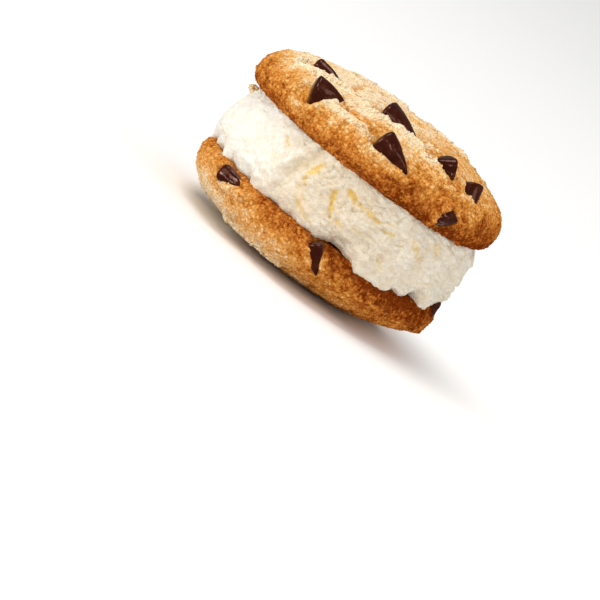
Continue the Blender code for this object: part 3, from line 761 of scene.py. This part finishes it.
class Finish:
    """A material under construction."""

    def __init__(self, name, constants):
        self.material = bpy.data.materials.new(name)
        self.material.use_nodes = True
        self.tree = self.material.node_tree
        self.shader = self.tree.nodes["Principled BSDF"]
        for socket, value in constants.items():
            self.shader.inputs[socket].default_value = value

    def node(self, kind, settings=None, inputs=None, output=0):
        """Adds a node, makes its settings, then fills its sockets with values or links."""
        made = self.tree.nodes.new(kind)
        for title, setting in (settings or {}).items():
            if title == "stops":
                self._stops(made.color_ramp, setting)
            else:
                setattr(made, title, setting)
        for title, value in (inputs or {}).items():
            if isinstance(value, Value):
                self.tree.links.new(value.socket, made.inputs[title])
            else:
                made.inputs[title].default_value = value
        return Value(self, made.outputs[output])

    @staticmethod
    def _stops(ramp, stops):
        while len(ramp.elements) < len(stops):
            ramp.elements.new(0.5)
        for element, (position, colour) in zip(ramp.elements, stops):
            element.position = position
            element.color = (*colour, 1.0)

    def attribute(self, title):
        return self.node("ShaderNodeAttribute", {"attribute_name": title}, output="Fac")

    def place(self):
        return self.node("ShaderNodeTexCoord", output="Object")

    def noise(self, size, detail=2.0, rough=0.5):
        """Noise from 0 to 1 with features of that size in metres."""
        inputs = {"Vector": self.place(), "Scale": 1 / size, "Detail": detail, "Roughness": rough}
        return self.node("ShaderNodeTexNoise", None, inputs, "Fac")

    def grains(self, size):
        """Packed grains of that size: a tone from 0 to 1 for each, and the distance from its middle."""
        cells = self.tree.nodes.new("ShaderNodeTexVoronoi")
        cells.inputs["Scale"].default_value = 1 / size
        self.tree.links.new(self.place().socket, cells.inputs["Vector"])
        tone = self.node("ShaderNodeSeparateXYZ", None, {"Vector": Value(self, cells.outputs["Color"])}, "X")
        return tone, Value(self, cells.outputs["Distance"])

    def step(self, value, low, high, start=0.0, end=1.0):
        """A soft step of a value from start at low to end at high."""
        inputs = {"Value": value, "From Min": low, "From Max": high, "To Min": start, "To Max": end}
        return self.node("ShaderNodeMapRange", {"interpolation_type": "SMOOTHSTEP"}, inputs)

    def ramp(self, value, stops):
        return self.node("ShaderNodeValToRGB", {"stops": stops}, {"Fac": value}, "Color")

    def mix(self, amount, first, second, blend="MIX"):
        settings = {"data_type": "RGBA", "blend_type": blend}
        return self.node("ShaderNodeMix", settings, {0: amount, 6: first, 7: second}, 2)

    def bump(self, height, distance, strength):
        inputs = {"Height": height, "Distance": distance, "Strength": strength}
        return self.node("ShaderNodeBump", None, inputs)

    def feed(self, **outputs):
        for title, value in outputs.items():
            self.tree.links.new(value.socket, self.shader.inputs[title.replace("_", " ")])
        return self.material


def crust_finish():
    """Baked dough: pale on the dome, golden down the side and dark brown at the edge by the ice cream, with
    painted shade in the gaps between grains and in dips, cracks and pits.
    """
    constants = {"Specular IOR Level": 0.0, "Subsurface Weight": 0.05, "Subsurface Scale": 1 * MM}
    finish = Finish("crust", constants)
    baked = finish.attribute("baked")
    hollow = finish.attribute("hollow")
    patches = finish.noise(2.4 * MM, 3.0, 0.6)
    coarse, coarse_dip = finish.grains(0.95 * MM)
    fine, fine_dip = finish.grains(0.55 * MM)
    lively = finish.step(baked, 0.05, 0.5, 0.5, 1.0)
    clouds = finish.noise(6.0 * MM, 2.0)
    # The tone carries the painted light and shade of the browning value.
    tone_and_shade = baked + (patches - 0.5) * 0.5 + (clouds - 0.5) * 0.35
    tone_and_shade = tone_and_shade + ((coarse - 0.5) * 0.30 + (fine - 0.5) * 0.26) * lively
    tone_and_shade = tone_and_shade - finish.step(fine, 0.80, 0.90) * 0.28
    colour = finish.ramp(tone_and_shade, CRUST_TONES)
    gaps = finish.step(coarse_dip, 0.30, 0.62)
    colour = finish.mix(gaps * lively * 0.55, colour, GRAIN_GAP_SHADE, "MULTIPLY")
    specks = finish.step(coarse, 0.92, 0.96)
    colour = finish.mix(specks * 0.45, colour, DARK_SPECK)
    # Darker gold in dips, cracks and chip pits: painted shade.
    colour = finish.mix(finish.step(hollow, 0.1, 1.0) * 0.6, colour, HOLLOW_PAINTED_SHADE)
    rough = finish.step(patches, 0.35, 0.65, 0.65, 0.9)
    height = finish.noise(1.6 * MM, 3.0, 0.6) * 0.5 - coarse_dip * 0.8 - fine_dip * 0.5
    return finish.feed(Base_Color=colour, Roughness=rough, Normal=finish.bump(height, 0.9 * MM, 1.0))


def vanilla_finish():
    """Frozen vanilla: warm white with painted shade towards the right, soft yellow where it is hollow, and a
    torn, slightly wet surface.
    """
    constants = {
        "Specular IOR Level": 0.5,
        "Subsurface Weight": 0.3,
        "Subsurface Scale": 2.5 * MM,
        "Subsurface Radius": (1.0, 0.75, 0.45),
    }
    finish = Finish("vanilla", constants)
    pocket = finish.attribute("pocket")
    warmth = finish.attribute("warmth")
    drift = finish.noise(6 * MM, 3.0)
    curd = finish.noise(1.5 * MM, 3.0, 0.6)
    ice, ice_dip = finish.grains(0.5 * MM)
    # The beige mix carries the painted shade towards the right as well as random tone.
    beige_and_shade = warmth * 0.8 + finish.step(drift, 0.35, 0.7, -0.1, 0.2)
    beige_and_shade = beige_and_shade + finish.step(curd, 0.35, 0.7, -0.1, 0.2) + (ice - 0.5) * 0.14
    colour = finish.mix(beige_and_shade, VANILLA_WHITE, VANILLA_BEIGE_AND_SHADE)
    inner = finish.step(finish.noise(0.9 * MM, 2.0), 0.35, 0.65) * 0.5 + 0.5
    # Yellow in hollows and pits, partly the ice cream's own and partly painted shade.
    colour = finish.mix(finish.step(pocket * inner, 0.0, 0.85), colour, VANILLA_YELLOW)
    rough = finish.step(drift, 0.3, 0.7, 0.3, 0.5)
    height = finish.noise(1.4 * MM, 4.0, 0.6) + finish.noise(0.5 * MM, 2.0) * 0.35 - ice_dip * 0.3
    return finish.feed(Base_Color=colour, Roughness=rough, Normal=finish.bump(height, 0.8 * MM, 0.8))


def chocolate_finish():
    """Dark chocolate with a soft shine, duller in patches."""
    constants = {"Specular IOR Level": 0.45, "Specular Tint": (1.0, 0.62, 0.52, 1.0)}
    finish = Finish("chocolate", constants)
    patch = finish.noise(2.2 * MM, 3.0, 0.6)
    colour = finish.mix(finish.step(patch, 0.4, 0.75), CHOCOLATE_DARK, CHOCOLATE_BROWN)
    rough = finish.step(patch, 0.35, 0.7, 0.08, 0.18)
    height = finish.noise(1.1 * MM, 3.0) + finish.noise(0.35 * MM, 1.0) * 0.25
    return finish.feed(Base_Color=colour, Roughness=rough, Normal=finish.bump(height, 0.4 * MM, 0.25))


def floor_finish():
    finish = Finish("floor", {"Roughness": 0.9, "Specular IOR Level": 0.1})
    tone = finish.noise(0.7, 2.0)
    return finish.feed(Base_Color=finish.mix(tone, FLOOR_PALE, FLOOR_PALER))


# The studio


def place_camera():
    """Makes the camera. Returns the sandwich's middle and the camera's right, up and ahead."""
    middle = Vector((0, 0, BOTTOM_BASE + FILLING_HEIGHT / 2))
    sight = Vector((0, math.cos(SIGHT_TILT), -math.sin(SIGHT_TILT)))
    along = Vector((1, 0, 0))
    above = Vector((0, math.sin(SIGHT_TILT), math.cos(SIGHT_TILT)))
    right = along * math.cos(CAMERA_ROLL) + above * math.sin(CAMERA_ROLL)
    up = above * math.cos(CAMERA_ROLL) - along * math.sin(CAMERA_ROLL)
    reach = PIXELS_PER_METRE * CAMERA_DISTANCE
    across = MIDDLE_IN_IMAGE[0] - IMAGE_SIDE / 2
    over = IMAGE_SIDE / 2 - MIDDLE_IN_IMAGE[1]
    ahead = (sight * reach - right * across - up * over).normalized()
    right = (right - ahead * right.dot(ahead)).normalized()
    up = right.cross(ahead)
    camera = bpy.data.objects.new("camera", bpy.data.cameras.new("camera"))
    bpy.context.scene.collection.objects.link(camera)
    camera.matrix_world = Matrix((
        (right.x, up.x, -ahead.x, 0),
        (right.y, up.y, -ahead.y, 0),
        (right.z, up.z, -ahead.z, 0),
        (0, 0, 0, 1),
    ))
    camera.location = middle - sight * CAMERA_DISTANCE
    camera.data.sensor_width = SENSOR
    camera.data.lens = reach * SENSOR / IMAGE_SIDE
    camera.data.clip_end = 60
    bpy.context.scene.camera = camera
    return middle, right, up, ahead


def soft_light(name, middle, direction, size, power, colour):
    lamp = bpy.data.lights.new(name, "AREA")
    lamp.shape = "DISK"
    lamp.size = size
    lamp.energy = power
    lamp.color = colour
    made = bpy.data.objects.new(name, lamp)
    bpy.context.scene.collection.objects.link(made)
    made.location = middle + direction.normalized() * LIGHT_DISTANCE
    made.rotation_euler = direction.to_track_quat("Z", "Y").to_euler()


def studio():
    middle, right, up, ahead = place_camera()
    for name, ((across, over, away), size, power, colour) in LIGHTS.items():
        direction = across * right + over * up + away * ahead
        soft_light(name, middle, direction, size, power, colour)
    world = bpy.data.worlds.new("studio")
    world.use_nodes = True
    sky = world.node_tree.nodes["Background"]
    sky.inputs["Color"].default_value = (1.0, 1.0, 1.0, 1.0)
    ray = world.node_tree.nodes.new("ShaderNodeLightPath")
    dimmed = world.node_tree.nodes.new("ShaderNodeMapRange")
    dimmed.inputs["To Min"].default_value = SURROUNDINGS
    dimmed.inputs["To Max"].default_value = SURROUNDINGS_IN_GLOSS
    world.node_tree.links.new(ray.outputs["Is Glossy Ray"], dimmed.inputs["Value"])
    world.node_tree.links.new(dimmed.outputs["Result"], sky.inputs["Strength"])
    bpy.context.scene.world = world
    bpy.context.scene.view_settings.view_transform = "Standard"
    mesh = bpy.data.meshes.new("floor")
    corners = [(x * FLOOR_REACH, y * FLOOR_REACH, 0) for x, y in ((-1, -1), (1, -1), (1, 1), (-1, 1))]
    mesh.from_pydata(corners, [], [(0, 1, 2, 3)])
    ground = bpy.data.objects.new("floor", mesh)
    bpy.context.scene.collection.objects.link(ground)
    mesh.materials.append(floor_finish())
    ground.visible_glossy = False


def finished(piece, finish, slot, *stands_for):
    """Gives a piece its finish and says what it is part of and stands for."""
    piece.data.materials.clear()
    piece.data.materials.append(finish)
    for face in piece.data.polygons:
        face.material_index = 0
    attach(piece, "root")
    if stands_for:
        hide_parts(*stands_for)


def sandwich():
    upright = Matrix.Translation((0, 0, TOP_BASE))
    over = Matrix.Translation((0, 0, BOTTOM_BASE)) @ Matrix.Rotation(math.pi, 4, "X")
    top_nests = nests_of(TOP_CHIPS, TOP_SHAPE, upright)
    low_nests = nests_of(BOTTOM_CHIPS, BOTTOM_SHAPE, over)
    top = crust("top_crust", TOP_SHAPE, TOP_WAVES, top_nests, TOP_LEDGES, TOP_DIPS, TOP_SEED, upright)
    low = crust(
        "bottom_crust", BOTTOM_SHAPE, BOTTOM_WAVES, low_nests, BOTTOM_LEDGES, (), BOTTOM_SEED, over,
        floor=BOTTOM_BASE,
    )
    cream = vanilla("vanilla_disc")

    dough = crust_finish()
    tree, sockets = scatter_tree()
    grain = rough_grain("grain", 3.0)
    finished(top, dough, "crust", "top_cookie")
    finished(low, dough, "crust", "bottom_cookie")
    finished(cream, vanilla_finish(), "ice_cream", "ice_cream")
    for name, host, (where, often, smallest, largest), seed in (
        ("top_grains", top, GRAINS, 5),
        ("bottom_grains", low, GRAINS, 8),
        ("top_crumbs", top, CRUMBS, 11),
        ("bottom_crumbs", low, CRUMBS, 14),
    ):
        grains = scattered(
            name, host, tree, sockets, Grain=grain, Where=where, Per_square_metre=often,
            Smallest=smallest * MM, Largest=largest * MM, Seed=seed, Finish=dough,
        )
        finished(grains, dough, "crust")
    bpy.data.objects.remove(grain)
    finished(loose_crumb("loose_crumb", Vector(LOOSE_CRUMB_SPOT) * MM), dough, "crust")
    chocolate = chocolate_finish()
    for kind, spots, shape, placed in (
        ("top", TOP_CHIPS, TOP_SHAPE, upright),
        ("bottom", BOTTOM_CHIPS, BOTTOM_SHAPE, over),
    ):
        for i, spot in enumerate(spots, 1):
            piece = chip(f"{kind}_drop_{i:02d}", spot, shape, placed, 3.0 * i + len(spots))
            finished(piece, chocolate, "chocolate", f"{kind}_chip_{i:02d}")


studio()
sandwich()
